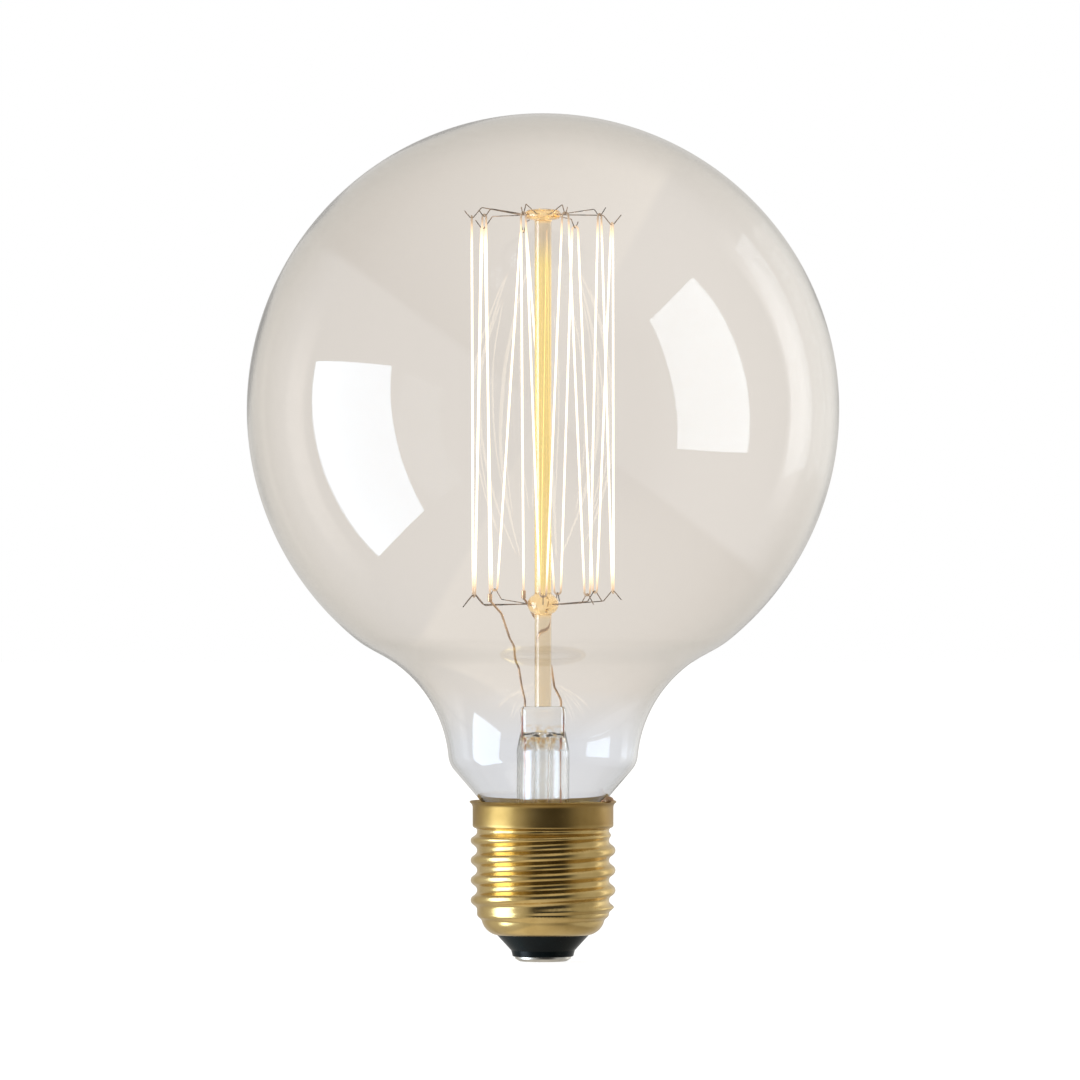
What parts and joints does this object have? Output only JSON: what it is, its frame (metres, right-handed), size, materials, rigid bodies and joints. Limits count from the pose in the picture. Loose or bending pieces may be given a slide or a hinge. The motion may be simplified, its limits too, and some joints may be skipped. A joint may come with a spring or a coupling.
{
  "type": "globe filament bulb",
  "caption": "Clear round filament lamp with a wire cage inside and a screw cap, for a screw lamp holder.",
  "frame": {"origin": "middle of the contact's flat underside, on the lamp's axis", "axes": "+Z along the lamp's axis from the contact to the crown of the globe, front of the lamp towards -Y"},
  "size_m": [0.108, 0.108, 0.1547],
  "materials": {
    "envelope_glass": "clear blown glass",
    "stem_glass": "clear drawn glass",
    "arbor_glass": "clear glass rod lit by the filament",
    "filament_wire": "glowing tungsten",
    "lead_wire": "nickel wire with copper colour",
    "seal_metal": "borated red copper-clad wire",
    "copper_wire": "bare copper",
    "support_wire": "dark drawn molybdenum",
    "cap_brass": "bright rolled brass",
    "cement": "baked basing cement",
    "black_glass": "glossy black glass",
    "contact_metal": "tinned contact",
    "solder": "soft solder"
  },
  "bodies": {
    "root": {"glass_envelope": "envelope_glass", "stem_flare": "stem_glass", "exhaust_tube": "stem_glass", "glass_arbor": "arbor_glass", "filament": "filament_wire", "inner_lead_left": "lead_wire", "inner_lead_right": "lead_wire", "seal_wire_left": "seal_metal", "seal_wire_right": "seal_metal", "centre_lead": "copper_wire", "side_lead": "copper_wire", "screw_shell": "cap_brass", "basing_cement": "cement", "insulator": "black_glass", "contact_plate": "contact_metal", "contact_solder": "solder", "rim_solder": "solder", "upper_support_1": "support_wire", "upper_support_2": "support_wire", "upper_support_3": "support_wire", "upper_support_4": "support_wire", "upper_support_5": "support_wire", "upper_support_6": "support_wire", "upper_support_7": "support_wire", "upper_support_8": "support_wire", "upper_support_9": "support_wire", "lower_support_1": "support_wire", "lower_support_2": "support_wire", "lower_support_3": "support_wire", "lower_support_4": "support_wire", "lower_support_5": "support_wire", "lower_support_6": "support_wire", "lower_support_7": "support_wire", "lower_support_8": "support_wire"}
  },
  "joints": []
}
